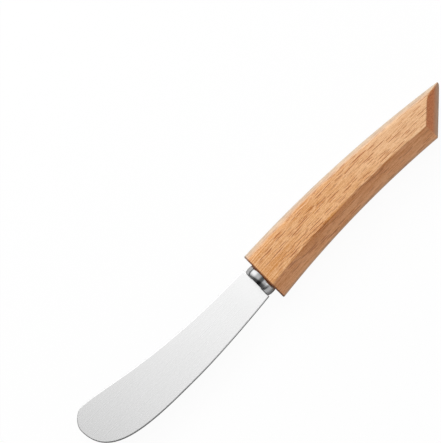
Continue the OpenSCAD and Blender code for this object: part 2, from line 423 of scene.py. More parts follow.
class HandleForm:
    """The handle's rule: arcs along, a six-sided section across, and a slanted bevelled butt."""

    def __init__(self, sizes):
        self.sizes = sizes
        self.long = HANDLE_HIGH.x - HANDLE_LOW.x
        self.half = (HANDLE_HIGH.z - HANDLE_LOW.z) / 2
        flat = sizes.ridge_flat / 2
        self.flat = flat
        self.spine_y = sizes.front_width / 2 - math.sqrt(
            sizes.spine_radius ** 2 - sizes.crown_from_front ** 2)
        self.belly_y = -sizes.front_width / 2 - math.sqrt(
            sizes.belly_radius ** 2 - sizes.waist_from_front ** 2)
        self.point_x = self.long + sizes.point_blunt
        self.point_y = self.spine_y + math.sqrt(
            sizes.spine_radius ** 2 - (self.point_x - sizes.crown_from_front) ** 2)
        self.butt_slope = sizes.butt_bevel_inset / (self.half - flat)
        half_turn = math.atan(1 / self.butt_slope)
        self.crease_radius = flat * self.butt_slope / (1 / math.sin(half_turn) - 1)
        self.crease_reach = self.crease_radius * math.cos(half_turn)

    def side_profile(self, arris_radius):
        """Inset and height of one side, from the upper broad face over the ridge to the lower."""
        inset, slope = self.sizes.bevel_inset, self.sizes.bevel_inset / (self.half - self.flat)
        ridge = (-self.flat * slope, 0.0)
        half_turn = math.atan(1 / slope)
        ridge_radius = self.flat * slope / (1 / math.sin(half_turn) - 1)
        upper, lower = (inset, self.half), (inset, -self.half)
        arris = rounded_corner(upper, (2 * inset, self.half), ridge, arris_radius, ARRIS_STEPS)
        crest = rounded_corner(ridge, upper, lower, ridge_radius, RIDGE_STEPS)
        bevel = [arris[-1] + (crest[0] - arris[-1]) * s for s in BEVEL_SHARES]
        face_end = arris[0] + (FACE_SUPPORT, 0.0)
        upper_side = [face_end, *arris, *bevel]
        lower_side = [np.array([p[0], -p[1]]) for p in upper_side[::-1]]
        return np.array([*upper_side, *crest, *lower_side])

    def y_at(self, x, weight, inset):
        """Distance from the tang's axis of a column, weighted from the belly to the spine side."""
        s = self.sizes
        spine = self.spine_y + np.sqrt((s.spine_radius - inset) ** 2 - (x - s.crown_from_front) ** 2)
        belly = self.belly_y + np.sqrt((s.belly_radius + inset) ** 2 - (x - s.waist_from_front) ** 2)
        inwards = np.clip(inset / s.bevel_inset, 0, 1) * (1 - 2 * weight)
        wander = s.sanding * sum(np.sin(x * math.tau / wave + shift) for wave, shift in SANDING_WAVES)
        return weight * spine + (1 - weight) * belly + inwards * wander

    def butt_depth(self, z):
        """How far the butt's bevels fall back from its ridge at a height."""
        high = np.abs(z)
        round_part = np.sqrt(np.maximum(self.crease_radius ** 2 - high ** 2, 1e-12))
        return np.where(high < self.crease_reach, self.crease_radius - round_part,
                        self.butt_slope * (high - self.flat))

    def butt_x(self, y, z):
        """Where the butt's surface lies, seen along the tang's axis, with its point blunted."""
        turn = self.sizes.butt_angle
        ahead = (y - self.point_y) * math.cos(turn) - self.butt_depth(z)
        slant = self.point_x + ahead / math.sin(turn)
        apart = np.sqrt((slant - self.long) ** 2 + self.sizes.point_blend ** 2)
        return (slant + self.long - apart) / 2

    def butt_lean(self, y, z, probe=1e-6):
        """How fast the butt's place along the axis grows across and upwards."""
        across = self.butt_x(y + probe, z) - self.butt_x(y - probe, z)
        upwards = self.butt_x(y, z + probe) - self.butt_x(y, z - probe)
        return across / (2 * probe), upwards / (2 * probe)


def conic(start, middle, end, weight, steps):
    """Rings of a rounding that leaves start and meets end along lines through middle."""
    rings = []
    for t in np.linspace(0, 1, steps + 1):
        a, b, c = (1 - t) ** 2, 2 * t * (1 - t) * weight[:, None], t ** 2
        rings.append((a * start + b * middle + c * end) / (a + b + c))
    return rings


def make_handle(sizes):
    """Handle with sanded arrises, a slanted bevelled butt and the stepped bore."""
    form = HandleForm(sizes)
    side = form.side_profile(sizes.arris_radius)
    spine_side = form.side_profile(sizes.spine_arris_radius)
    last = len(side) - 1
    corner = 1 + ARRIS_STEPS // 2
    across = [i / ACROSS_STEPS for i in range(1, ACROSS_STEPS)]
    # One entry a column: weight towards the spine side, inset and height
    loop = [(0.0, *side[j]) for j in range(corner, -1, -1)]
    loop += [(w, side[0][0] + (spine_side[0][0] - side[0][0]) * w, form.half) for w in across]
    loop += [(1.0, *p) for p in spine_side]
    loop += [(w, side[0][0] + (spine_side[0][0] - side[0][0]) * w, -form.half)
             for w in across[::-1]]
    loop += [(0.0, *side[j]) for j in range(last, corner, -1)]
    weight, inset, height = np.array(loop).T
    count = len(loop)
    wide = 2 * corner + ACROSS_STEPS
    tall = last - 2 * corner

    # Section's inward direction at each column
    middle_y = form.y_at(np.full(count, form.long / 2), weight, inset)
    section = np.stack([middle_y, height], axis=1)
    along = np.roll(section, -1, axis=0) - np.roll(section, 1, axis=0)
    along /= np.linalg.norm(along, axis=1)[:, None]
    inward = np.stack([along[:, 1], -along[:, 0]], axis=1)
    if (inward * (section - section.mean(axis=0))).sum() > 0:
        inward = -inward

    # Edge of the butt, found by going back and forth between arc and slant
    end_x = np.full(count, form.long)
    for _ in range(EDGE_ROUNDS):
        end_x = form.butt_x(form.y_at(end_x, weight, inset), height)
    end_y = form.y_at(end_x, weight, inset)
    beyond, before = (form.y_at(end_x + step, weight, inset) for step in (EDGE_PROBE, -EDGE_PROBE))
    rise = (beyond - before) / (2 * EDGE_PROBE)
    ones, nought = np.ones(count), np.zeros(count)
    lean_y, lean_z = form.butt_lean(end_y, height)
    wall_normal = unit(np.stack([inward[:, 0] * rise, -inward[:, 0], -inward[:, 1]], axis=1))
    butt_normal = unit(np.stack([ones, -lean_y, -lean_z], axis=1))
    edge = unit(np.cross(wall_normal, butt_normal))
    bend = np.arccos(np.clip((wall_normal * butt_normal).sum(axis=1), -1, 1))
    reach = sizes.end_radius * np.tan(bend / 2)
    run = unit(np.stack([ones, rise, nought], axis=1))
    wall_reach = reach / np.linalg.norm(np.cross(run, edge), axis=1)
    fall_way = np.stack([inward[:, 0] * lean_y + inward[:, 1] * lean_z,
                         inward[:, 0], inward[:, 1]], axis=1)
    cap_reach = reach / np.linalg.norm(np.cross(fall_way, edge), axis=1)
    stop_x = end_x - wall_reach * run[:, 0]
    cap_y, cap_z = end_y + cap_reach * inward[:, 0], height + cap_reach * inward[:, 1]
    wall_end = np.stack([stop_x, form.y_at(stop_x, weight, inset), height], axis=1)
    sharp_end = np.stack([end_x, end_y, height], axis=1)
    cap_edge = np.stack([form.butt_x(cap_y, cap_z), cap_y, cap_z], axis=1)

    # Front edge
    front_y = form.y_at(nought, weight, inset)
    sharp_front = np.stack([nought, front_y, height], axis=1)
    start_x = nought + sizes.end_radius
    wall_start = np.stack([start_x, form.y_at(start_x, weight, inset), height], axis=1)
    face_way = np.stack([nought, inward[:, 0], inward[:, 1]], axis=1)
    face_edge = sharp_front + sizes.end_radius * face_way

    # Rings from the drill point out to the front face, then along to the butt
    bearing = np.arctan2(face_edge[:, 2], face_edge[:, 1])
    circle = np.stack([nought, np.cos(bearing), np.sin(bearing)], axis=1)
    step_x = np.array([1.0, 0.0, 0.0])
    bore, seat = sizes.bore_diameter / 2, sizes.counterbore_diameter / 2
    rings = [circle * bore + step_x * x
             for x in np.linspace(sizes.bore_depth, sizes.counterbore_depth, BORE_STEPS)]
    rings += [circle * seat + step_x * x
              for x in np.linspace(sizes.counterbore_depth, 0, SEAT_STEPS)]
    mouth = rings[-1]
    rings += [mouth + (face_edge - mouth) * s for s in FRONT_SHARES]
    front_from = len(rings)
    rings += conic(face_edge, sharp_front, wall_start, ones * math.cos(math.pi / 4), EASE_STEPS)
    first, final = END_SHARES
    stations = np.concatenate([[first], np.linspace(0, 1, ALONG_STEPS + 1)[1:-1], [final]])
    for s in stations:
        x = start_x + (stop_x - start_x) * s
        rings.append(np.stack([x, form.y_at(x, weight, inset), height], axis=1))
    rings += conic(wall_end, sharp_end, cap_edge, np.cos(bend / 2), EASE_STEPS)

    vertices = np.concatenate(rings)
    faces = ring_walls(count, len(rings))
    tip = len(vertices)
    drill_point = (sizes.bore_depth + bore / math.tan(DRILL_HALF_ANGLE), 0.0, 0.0)
    faces += [((i + 1) % count, i, tip) for i in range(count)]
    vertices = np.concatenate([vertices, [drill_point]])

    # Butt, as a patch of rows and columns inside its edge
    rim = (len(rings) - 1) * count
    grid = np.zeros((tall + 1, wide + 1), int)
    grid[0, :] = rim + np.arange(0, wide + 1)
    grid[:, wide] = rim + wide + np.arange(0, tall + 1)
    grid[tall, ::-1] = rim + wide + tall + np.arange(0, wide + 1)
    grid[1:, 0][::-1] = rim + (2 * wide + tall + np.arange(0, tall)) % count
    grid[0, 0] = rim
    edge_yz = vertices[:, 1:]
    top, foot = edge_yz[grid[0]], edge_yz[grid[tall]]
    left, right = edge_yz[grid[:, 0]], edge_yz[grid[:, wide]]
    u = (top[:, 0] - top[0, 0]) / (top[-1, 0] - top[0, 0])
    v = (right[:, 1] - right[0, 1]) / (right[-1, 1] - right[0, 1])
    inner, start = [], len(vertices)
    for j in range(1, tall):
        for i in range(1, wide):
            a, b = u[i], v[j]
            point = ((1 - b) * top[i] + b * foot[i] + (1 - a) * left[j] + a * right[j]
                     - (1 - a) * (1 - b) * top[0] - a * (1 - b) * top[-1]
                     - (1 - a) * b * foot[0] - a * b * foot[-1])
            grid[j, i] = start + len(inner)
            inner.append((float(form.butt_x(point[0], point[1])), point[0], point[1]))
    vertices = np.concatenate([vertices, inner])
    faces += [(grid[j, i], grid[j, i + 1], grid[j + 1, i + 1], grid[j + 1, i])
              for j in range(tall) for i in range(wide)]
    piece = piece_from("beech_handle", vertices + (FRONT_X, 0.0, AXIS_Z), faces)
    normals = point_normals(piece)
    note(piece, "end_grain", np.abs(normals[:, 0]))
    note(piece, "belly_side", np.maximum(-normals[:, 1], 0))
    note(piece, "spine_side", np.maximum(normals[:, 1], 0))
    # The eased front edge is darker: partly oil in its open end grain, partly painted shade
    front_rings = range(len(rings))[front_from:front_from + EASE_STEPS + 1]
    darker = np.zeros(len(vertices))
    for number in front_rings:
        darker[number * count:(number + 1) * count] = 1.0
    note(piece, "front_edge", darker)
    return piece


def unit(vectors):
    """Rows scaled to length one."""
    return vectors / np.linalg.norm(vectors, axis=1)[:, None]


# Ferrule, by Geometry Nodes

class TreeMaker:
    """Short ways to add and join nodes in a tree."""

    def __init__(self, tree):
        self.tree = tree
        self.nodes = tree.nodes
        self.placed = 0

    def add(self, kind, inputs=None, **settings):
        """A node of that kind; inputs are keyed by name or number, as sockets or values."""
        node = self.nodes.new(kind)
        node.location = (220 * (self.placed % 12), -260 * (self.placed // 12))
        self.placed += 1
        for key, value in settings.items():
            setattr(node, key, value)
        for key, value in (inputs or {}).items():
            self.put(node.inputs[key], value)
        return node

    def put(self, socket, value):
        """Joins a socket to an output, or sets its value."""
        if isinstance(value, bpy.types.Node):
            value = value.outputs[0]
        if isinstance(value, bpy.types.NodeSocket):
            self.tree.links.new(value, socket)
        else:
            socket.default_value = value

    def math(self, operation, *values, **settings):
        """The result of a sum of one to three numbers."""
        inputs = dict(enumerate(values))
        return self.add("ShaderNodeMath", inputs, operation=operation, **settings).outputs[0]

    def vector(self, x=0.0, y=0.0, z=0.0):
        """A vector from three numbers."""
        return self.add("ShaderNodeCombineXYZ", {0: x, 1: y, 2: z}).outputs[0]


FERRULE_INPUTS = ("Collar Radius", "Collar Length", "Rim Length", "Rim Drop", "Rim Blend",
                  "Back Length", "Back Drop", "Back Blend", "Edge Break", "Spigot Radius",
                  "Spigot Length", "Slot Width", "Slot Height", "Front X", "Axis Z")
FILLET_STEPS = 8
MERGE_DISTANCE = 1e-6
SHARP_FROM = math.radians(40)


def ferrule_tree(material):
    """Tree that turns the ferrule's profile about its axis and cuts the tang's slot."""
    tree = bpy.data.node_groups.new("turned_ferrule", "GeometryNodeTree")
    tree.is_modifier = True
    for name in FERRULE_INPUTS:
        tree.interface.new_socket(name, in_out="INPUT", socket_type="NodeSocketFloat")
    tree.interface.new_socket("Segments", in_out="INPUT", socket_type="NodeSocketInt")
    tree.interface.new_socket("Geometry", in_out="OUTPUT", socket_type="NodeSocketGeometry")
    make = TreeMaker(tree)
    given = make.add("NodeGroupInput").outputs
    collar, spigot = given["Collar Radius"], given["Spigot Radius"]
    front = make.math("MULTIPLY", given["Collar Length"], -1.0)
    # Corners of the profile, as place along the axis and radius
    rim_end = make.math("ADD", front, given["Rim Length"])
    back_start = make.math("MULTIPLY", given["Back Length"], -1.0)
    corners = [(front, 0.0), (front, make.math("SUBTRACT", collar, given["Rim Drop"])),
               (rim_end, collar), (back_start, collar),
               (0.0, make.math("SUBTRACT", collar, given["Back Drop"])), (0.0, spigot),
               (given["Spigot Length"], spigot), (given["Spigot Length"], 0.0)]
    radii = [0.0, given["Edge Break"], given["Rim Blend"], given["Back Blend"],
             given["Edge Break"], 0.0, given["Edge Break"], 0.0]
    line = make.add("GeometryNodeMeshLine", {"Count": len(corners)})
    index = make.add("GeometryNodeInputIndex").outputs[0]
    place = index_switch(make, "VECTOR", index, [make.vector(x, y) for x, y in corners])
    rounding = index_switch(make, "FLOAT", index, radii)
    placed = make.add("GeometryNodeSetPosition", {"Geometry": line, "Position": place})
    curve = make.add("GeometryNodeMeshToCurve", {"Mesh": placed})
    profile = make.add("GeometryNodeFilletCurve", {"Curve": curve, "Radius": rounding},
                       mode="POLY")
    profile.inputs["Count"].default_value = FILLET_STEPS
    points = make.add("GeometryNodeAttributeDomainSize", {0: profile}, component="CURVE")
    rows = points.outputs["Point Count"]
    columns = make.math("ADD", given["Segments"], 1.0)
    sheet = make.add("GeometryNodeMeshGrid", {"Vertices X": columns, "Vertices Y": rows})
    row = make.math("MODULO", index, rows)
    column = make.math("FLOOR", make.math("DIVIDE", make.math("ADD", index, 0.5), rows))
    sampled = make.add("GeometryNodeSampleIndex", data_type="FLOAT_VECTOR", domain="POINT")
    make.put(sampled.inputs["Geometry"], profile)
    make.put(sampled.inputs["Value"], make.add("GeometryNodeInputPosition"))
    make.put(sampled.inputs["Index"], row)
    parts = make.add("ShaderNodeSeparateXYZ", {0: sampled}).outputs
    turn = make.math("MULTIPLY", make.math("DIVIDE", column, given["Segments"]), 2 * math.pi)
    swept = make.vector(make.math("ADD", parts[0], given["Front X"]),
                        make.math("MULTIPLY", parts[1], make.math("COSINE", turn)),
                        make.math("ADD", given["Axis Z"],
                                  make.math("MULTIPLY", parts[1], make.math("SINE", turn))))
    turned = make.add("GeometryNodeSetPosition", {"Geometry": sheet, "Position": swept})
    closed = make.add("GeometryNodeMergeByDistance", {"Geometry": turned,
                                                      "Distance": MERGE_DISTANCE})
    total = make.math("ADD", given["Collar Length"], given["Spigot Length"])
    through = make.math("MULTIPLY", total, 2.0)
    slot_size = make.vector(through, given["Slot Width"], given["Slot Height"])
    slot = make.add("GeometryNodeMeshCube", {"Size": slot_size})
    slot_at = make.vector(given["Front X"], 0.0, given["Axis Z"])
    slot = make.add("GeometryNodeTransform", {"Geometry": slot, "Translation": slot_at})
    cut = make.add("GeometryNodeMeshBoolean", operation="DIFFERENCE", solver="EXACT")
    make.put(cut.inputs["Mesh 1"], closed)
    make.put(cut.inputs["Mesh 2"], slot)
    real = make.add("GeometryNodeRealizeInstances", {0: cut})
    painted = make.add("GeometryNodeSetMaterial", {"Geometry": real, "Material": material})
    make.put(make.add("NodeGroupOutput").inputs[0], painted)
    return tree


def index_switch(make, data_type, index, values):
    """The value whose number is the index."""
    node = make.add("GeometryNodeIndexSwitch", data_type=data_type)
    while len(node.index_switch_items) < len(values):
        node.index_switch_items.new()
    make.put(node.inputs["Index"], index)
    for socket, value in zip(node.inputs[1:], values):
        make.put(socket, value)
    return node.outputs[0]


def plain_mesh(piece):
    """Turns a piece's live modifiers into a plain mesh and removes them."""
    graph = bpy.context.evaluated_depsgraph_get()
    mesh = bpy.data.meshes.new_from_object(piece.evaluated_get(graph), depsgraph=graph)
    piece.modifiers.clear()
    piece.data = mesh
    if signed_volume(mesh) < 0:
        mesh.flip_normals()
    return piece


def make_ferrule(sizes, material):
    """Ferrule turned by the node tree."""
    piece = linked("turned_ferrule", bpy.data.meshes.new("turned_ferrule"))
    tree = ferrule_tree(material)
    modifier = piece.modifiers.new("turned", "NODES")
    modifier.node_group = tree
    values = {
        "Collar Radius": (FERRULE_HIGH.y - FERRULE_LOW.y) / 2,
        "Collar Length": FRONT_X - FERRULE_LOW.x,
        "Rim Length": sizes.rim_length,
        "Rim Drop": sizes.rim_drop,
        "Rim Blend": sizes.rim_blend,
        "Back Length": sizes.back_length,
        "Back Drop": sizes.back_drop,
        "Back Blend": sizes.back_blend,
        "Edge Break": sizes.edge_break,
        "Spigot Radius": sizes.spigot_diameter / 2,
        "Spigot Length": FERRULE_HIGH.x - FRONT_X,
        "Slot Width": sizes.slot_width,
        "Slot Height": sizes.slot_height,
        "Front X": FRONT_X,
        "Axis Z": AXIS_Z,
        "Segments": sizes.segments,
    }
    for item in tree.interface.items_tree:
        if item.in_out == "INPUT":
            modifier[item.identifier] = values[item.name]
    plain_mesh(piece)
    piece.data.shade_smooth()
    piece.data.set_sharp_from_angle(angle=SHARP_FROM)
    return piece


# Materials

# Flecks: lean of their cells from row to row, full widths of fleck and border in cells, how
# hard their outlines are, and the palest one's depth
FLECK_LEAN = 0.41
FLECK_WIDTHS = (0.37, 0.64)
FLECK_NARROWEST = 0.08
FLECK_EDGE = 11.0
FLECK_PALEST = 0.90


class Finish(TreeMaker):
    """A material made of nodes round one Principled shader."""

    def __init__(self, name):
        self.material = bpy.data.materials.new(name)
        self.material.use_nodes = True
        super().__init__(self.material.node_tree)
        self.shader = self.nodes["Principled BSDF"]
        self.place = self.add("ShaderNodeTexCoord").outputs

    def set(self, **values):
        """Sets or joins the shader's inputs, whose names have underscores for spaces."""
        for key, value in values.items():
            self.put(self.shader.inputs[key.replace("_", " ")], value)

    def stretched(self, vector, scale):
        """A vector with each of its parts scaled."""
        node = self.add("ShaderNodeVectorMath", {0: vector, 1: scale}, operation="MULTIPLY")
        return node.outputs[0]

    def noted(self, name):
        """A number kept on the mesh."""
        return self.add("ShaderNodeAttribute", attribute_name=name).outputs["Fac"]

    def noise(self, vector, detail=2.0, roughness=0.5, distortion=0.0):
        """Soft noise between nought and one."""
        node = self.add("ShaderNodeTexNoise", {"Vector": vector, "Scale": 1.0, "Detail": detail,
                                               "Roughness": roughness, "Distortion": distortion})
        return node.outputs["Fac"]

    def flecks(self, grain, wander, cell, missing):
        """Dark spindles, one to a cell, narrowest in the missing share of cells, and their borders."""
        place = self.stretched(grain, (1 / cell[0], 1 / cell[1], 0.0))
        row = self.add("ShaderNodeSeparateXYZ", {0: place}).outputs[1]
        shift = self.vector(self.math("MULTIPLY", row, FLECK_LEAN), wander, 0.0)
        place = self.add("ShaderNodeVectorMath", {0: place, 1: shift}, operation="ADD").outputs[0]
        near = self.add("ShaderNodeTexVoronoi", {"Vector": place, "Scale": 1.0},
                        voronoi_dimensions="2D").outputs
        chance = self.add("ShaderNodeSeparateColor", {0: near["Color"]}).outputs
        depth = self.ramp(chance[1], 0.0, 1.0, FLECK_PALEST, 1.0)
        layers = []
        for widest in FLECK_WIDTHS:
            reach = self.ramp(chance[0], missing, 1.0, FLECK_NARROWEST, widest)
            inside = self.math("SUBTRACT", reach, near["Distance"])
            inside = self.math("MULTIPLY", inside, FLECK_EDGE, use_clamp=True)
            layers.append(self.math("MULTIPLY", inside, depth))
        return layers[0], self.math("SUBTRACT", layers[1], layers[0])

    def ramp(self, value, low, high, start=0.0, end=1.0, smooth=False):
        """A value taken from one range to another, held at its ends."""
        node = self.add("ShaderNodeMapRange", {"Value": value, "From Min": low, "From Max": high,
                                               "To Min": start, "To Max": end}, clamp=True)
        node.interpolation_type = "SMOOTHSTEP" if smooth else "LINEAR"
        return node.outputs["Result"]

    def mix(self, factor, first, second, blend="MIX"):
        """Two colours mixed."""
        node = self.add("ShaderNodeMix", data_type="RGBA", blend_type=blend)
        self.put(node.inputs["Factor"], factor)
        self.put(node.inputs["A"], rgba(first))
        self.put(node.inputs["B"], rgba(second))
        return node.outputs["Result"]

    def tinted(self, base, tint):
        """A colour multiplied by a tint, or by one number, the same for each of its parts."""
        if isinstance(tint, bpy.types.NodeSocket) and tint.type == "VALUE":
            tint = self.vector(tint, tint, tint)
        return self.mix(1.0, base, tint, "MULTIPLY")

    def bump(self, height, strength, distance):
        """A normal bent by a height."""
        return self.add("ShaderNodeBump", {"Height": height, "Strength": strength,
                                           "Distance": distance}).outputs["Normal"]


def rgba(value):
    """A colour with its fourth part, where it is a plain colour."""
    if isinstance(value, bpy.types.NodeSocket):
        return value
    return (*tuple(value)[:3], 1.0)


# Distance before the ferrule over which the blade's faces grow smoother
ROOT_POLISH_REACH = 0.010


def satin_steel(sizes):
    """Fine satin faces, brushed along the blade, and a cut edge that is duller and darker, partly as
    painted shade.
    """
    finish = Finish("satin_steel")
    place = finish.place["Object"]
    brushing = finish.noise(finish.stretched(place, (60.0, 5200.0, 5200.0)), 3.0, 0.6)
    cloudy = finish.noise(finish.stretched(place, (55.0, 90.0, 90.0)), 2.0)
    cut = finish.noted("cut")
    tone = finish.math("ADD", finish.ramp(brushing, 0.3, 0.7, 0.995, 1.001),
                       finish.ramp(cloudy, 0.3, 0.7, -0.006, 0.006))
    steel = finish.tinted(sizes.steel, tone)
    rough = finish.math("ADD", finish.ramp(brushing, 0.3, 0.7, -0.008, 0.008), sizes.roughness)
    x = finish.add("ShaderNodeSeparateXYZ", {0: place}).outputs[0]
    polish = finish.ramp(x, FERRULE_LOW.x - ROOT_POLISH_REACH, FERRULE_LOW.x,
                         0.0, sizes.root_polish)
    rough = finish.math("SUBTRACT", rough, polish)
    finish.set(Base_Color=finish.mix(cut, steel, sizes.dull_and_shaded_edge), Metallic=1.0,
               Roughness=finish.math("ADD", rough, finish.math("MULTIPLY", cut, 0.15)),
               Normal=finish.bump(brushing, 0.02, 0.00002))
    return finish.material


def polished_steel(sizes):
    """Bright turned steel with the faint rings that a lathe leaves."""
    finish = Finish("polished_steel")
    place = finish.place["Object"]
    rings = finish.noise(finish.stretched(place, (9000.0, 60.0, 60.0)), 2.0)
    smears = finish.noise(finish.stretched(place, (500.0, 260.0, 260.0)), 3.0)
    tone = finish.ramp(smears, 0.3, 0.7, 0.94, 1.0)
    steel = finish.tinted(sizes.steel, tone)
    rough = finish.math("ADD", finish.ramp(smears, 0.3, 0.7, -0.03, 0.05), sizes.roughness)
    finish.set(Base_Color=steel, Metallic=1.0, Roughness=rough,
               Normal=finish.bump(rings, 0.06, 0.00002))
    return finish.material


# How often each layer of the wood repeats in a metre: along the grain, across it and upwards
FIGURE, WANDER = (14.0, 130.0, 90.0), (300.0, 60.0, 60.0)
STREAKS, SHORT_STREAKS = (50.0, 2600.0, 1200.0), (120.0, 3600.0, 1800.0)
PORES = (2200.0, 4200.0, 4200.0)
# Cells of one fleck each, along and across the grain, and the share of them left nearly empty
LONG_FLECKS, LONG_MISSING = (0.0105, 0.00052), 0.48
SMALL_FLECKS, SMALL_MISSING = (0.0056, 0.00043), 0.50


def beech_wood(sizes):
    """Straight-grained beech with its short dark flecks, tinted on end grain, with painted shade and
    sheen by side and along its ridges.
    """
    finish = Finish("oiled_beech")
    place = finish.place["Object"]
    x, y, z = finish.add("ShaderNodeSeparateXYZ", {0: place}).outputs
    # The grain runs along the handle and bends a little with it
    along = finish.math("SUBTRACT", x, FRONT_X)
    bend = finish.math("MULTIPLY_ADD", along, -sizes.grain_bend / 2, sizes.grain_slope)
    across = finish.math("SUBTRACT", y, finish.math("MULTIPLY", along, bend))
    grain = finish.vector(along, across, z)
    figure = finish.noise(finish.stretched(grain, FIGURE), 3.0, 0.5, 0.3)
    streak = finish.noise(finish.stretched(grain, STREAKS), 2.0, 0.5)
    short = finish.noise(finish.stretched(grain, SHORT_STREAKS), 2.0, 0.6)
    pores = finish.noise(finish.stretched(grain, PORES), 1.0, 0.6)
    sides = finish.ramp(finish.noted("belly_side"), 0.3, 0.8, smooth=True)
    ends = finish.ramp(finish.noted("end_grain"), 0.46, 0.62, smooth=True)

    rear = finish.ramp(along, 0.030, 0.075, smooth=True)
    swing = finish.math("MULTIPLY", finish.ramp(figure, 0.3, 0.7, -0.10, 0.10),
                        finish.ramp(rear, 0.0, 1.0, 1.0, 0.45))
    for layer, reach in ((streak, 0.50), (short, 0.42), (pores, 0.42)):
        swing = finish.math("ADD", swing, finish.ramp(layer, 0.25, 0.75, -reach, reach))
    swing = finish.math("MULTIPLY", swing, finish.ramp(sides, 0.0, 1.0, 1.0, 0.9))
    wander = finish.noise(finish.stretched(grain, WANDER), 1.0)
    long_fleck, long_rim = finish.flecks(grain, wander, LONG_FLECKS, LONG_MISSING)
    small_fleck, small_rim = finish.flecks(grain, wander, SMALL_FLECKS, SMALL_MISSING)
    fleck = finish.math("MAXIMUM", long_fleck, finish.math("MULTIPLY", small_fleck, 0.9))
    rim = finish.math("MAXIMUM", long_rim, finish.math("MULTIPLY", small_rim, 0.7))
    fainter = finish.math("MULTIPLY", finish.ramp(sides, 0.0, 1.0, sizes.fleck_strength, 0.6),
                          finish.ramp(ends, 0.0, 1.0, 1.0, 0.15))
    fleck = finish.math("MULTIPLY", fleck, fainter)
    border = finish.math("MULTIPLY", finish.math("MULTIPLY", rim, fainter), sizes.fleck_border)
    swing = finish.math("ADD", swing, border)
    # Painted light and shade: the belly side's bevels are darker by the arris and paler towards the
    # ridge
    off_ridge = finish.math("ABSOLUTE", finish.math("SUBTRACT", z, AXIS_Z))
    painted_belly_light = finish.math("MULTIPLY", finish.ramp(off_ridge, 0.0012, 0.0065, 0.17, -0.15), sides)
    swing = finish.math("ADD", swing, painted_belly_light)
    rear = finish.math("MULTIPLY", rear, finish.ramp(sides, 0.0, 1.0, 1.0, 0.2))
    pale = finish.math("ADD", swing, finish.ramp(rear, 0.0, 1.0, 0.54, 0.68))
    tone = finish.mix(finish.ramp(pale, 0.0, 1.0), sizes.deep_wood, sizes.pale_wood)
    tone = finish.mix(finish.math("MULTIPLY", rear, 0.15), tone, sizes.rear_tint)
    tone = finish.mix(fleck, tone, finish.tinted(tone, sizes.fleck_tint))

    # Painted shade on the belly side's bevels
    tone = finish.mix(sides, tone, finish.tinted(tone, sizes.belly_shade_tint))
    spine = finish.noted("spine_side")
    # Painted sheen: the spine side's bevels turn greyer and paler, most near the ridge
    painted_sheen = finish.math("MULTIPLY", finish.ramp(off_ridge, 0.0008, 0.0060, 0.80, 0.08),
                         finish.ramp(spine, 0.2, 0.8, smooth=True))
    level = finish.ramp(pale, 0.0, 1.0, 0.74, 1.23)
    grey = finish.tinted(sizes.spine_sheen_tint, level)
    tone = finish.mix(painted_sheen, tone, grey)
    # Painted shade: the spine side's arris is darkened a little, most towards the butt
    painted_arris_shade = finish.math("MULTIPLY", finish.ramp(spine, 0.02, 0.25), finish.ramp(spine, 0.75, 0.45))
    painted_arris_shade = finish.math("MULTIPLY", painted_arris_shade, finish.ramp(along, 0.020, 0.050, 0.3, 1.0))
    tone = finish.mix(painted_arris_shade, tone, finish.tinted(tone, sizes.arris_shade_tint))
    tone = finish.mix(ends, tone, finish.tinted(tone, sizes.end_tint))
    # Painted shade along the ridges of the butt and of the belly side
    butt_ridge_shade = finish.math("MULTIPLY", finish.ramp(off_ridge, 0.0010, 0.0033, 1.0, 0.0), ends)
    belly_ridge_shade = finish.math("MULTIPLY", finish.ramp(off_ridge, 0.0002, 0.0013, 0.8, 0.0), sides)
    tone = finish.mix(finish.math("MAXIMUM", butt_ridge_shade, belly_ridge_shade), tone, sizes.ridge_shade)
    # Oiled end grain and painted shade on the eased front edge
    tone = finish.mix(finish.noted("front_edge"), tone, finish.tinted(tone, sizes.edge_oil_and_shade))
    rough = finish.math("ADD", finish.ramp(pores, 0.25, 0.75, -0.06, 0.08), sizes.roughness)
    height = finish.math("SUBTRACT", finish.math("MULTIPLY", streak, 0.6), fleck)
    finish.set(Base_Color=tone, Roughness=rough, Specular_IOR_Level=0.1,
               Coat_Weight=sizes.oil, Coat_Roughness=0.30,
               Normal=finish.bump(height, 0.04, 0.00006))
    return finish.material


def cured_adhesive():
    """Amber adhesive with fine bubbles, hidden in the bore."""
    finish = Finish("cured_adhesive")
    bubbles = finish.noise(finish.stretched(finish.place["Object"], (900.0, 900.0, 900.0)), 2.0)
    finish.set(Base_Color=finish.mix(finish.ramp(bubbles, 0.3, 0.7), (0.55, 0.44, 0.22),
                                     (0.66, 0.56, 0.34)),
               Roughness=finish.ramp(bubbles, 0.3, 0.7, 0.45, 0.6),
               Normal=finish.bump(bubbles, 0.2, 0.00005))
    return finish.material


# Stage

def seen(make, mirrored=1.0):
    """One on rays from the camera, a share on mirrored or passed rays, and nought on others."""
    path = make.add("ShaderNodeLightPath").outputs
    passed = make.math("MAXIMUM", path["Is Glossy Ray"], path["Is Transmission Ray"])
    return make.math("MAXIMUM", path["Is Camera Ray"], make.math("MULTIPLY", passed, mirrored))


def bare_material(name):
    """A material without nodes and the maker of its nodes."""
    material = bpy.data.materials.new(name)
    material.use_nodes = True
    material.node_tree.nodes.clear()
    return material, TreeMaker(material.node_tree)


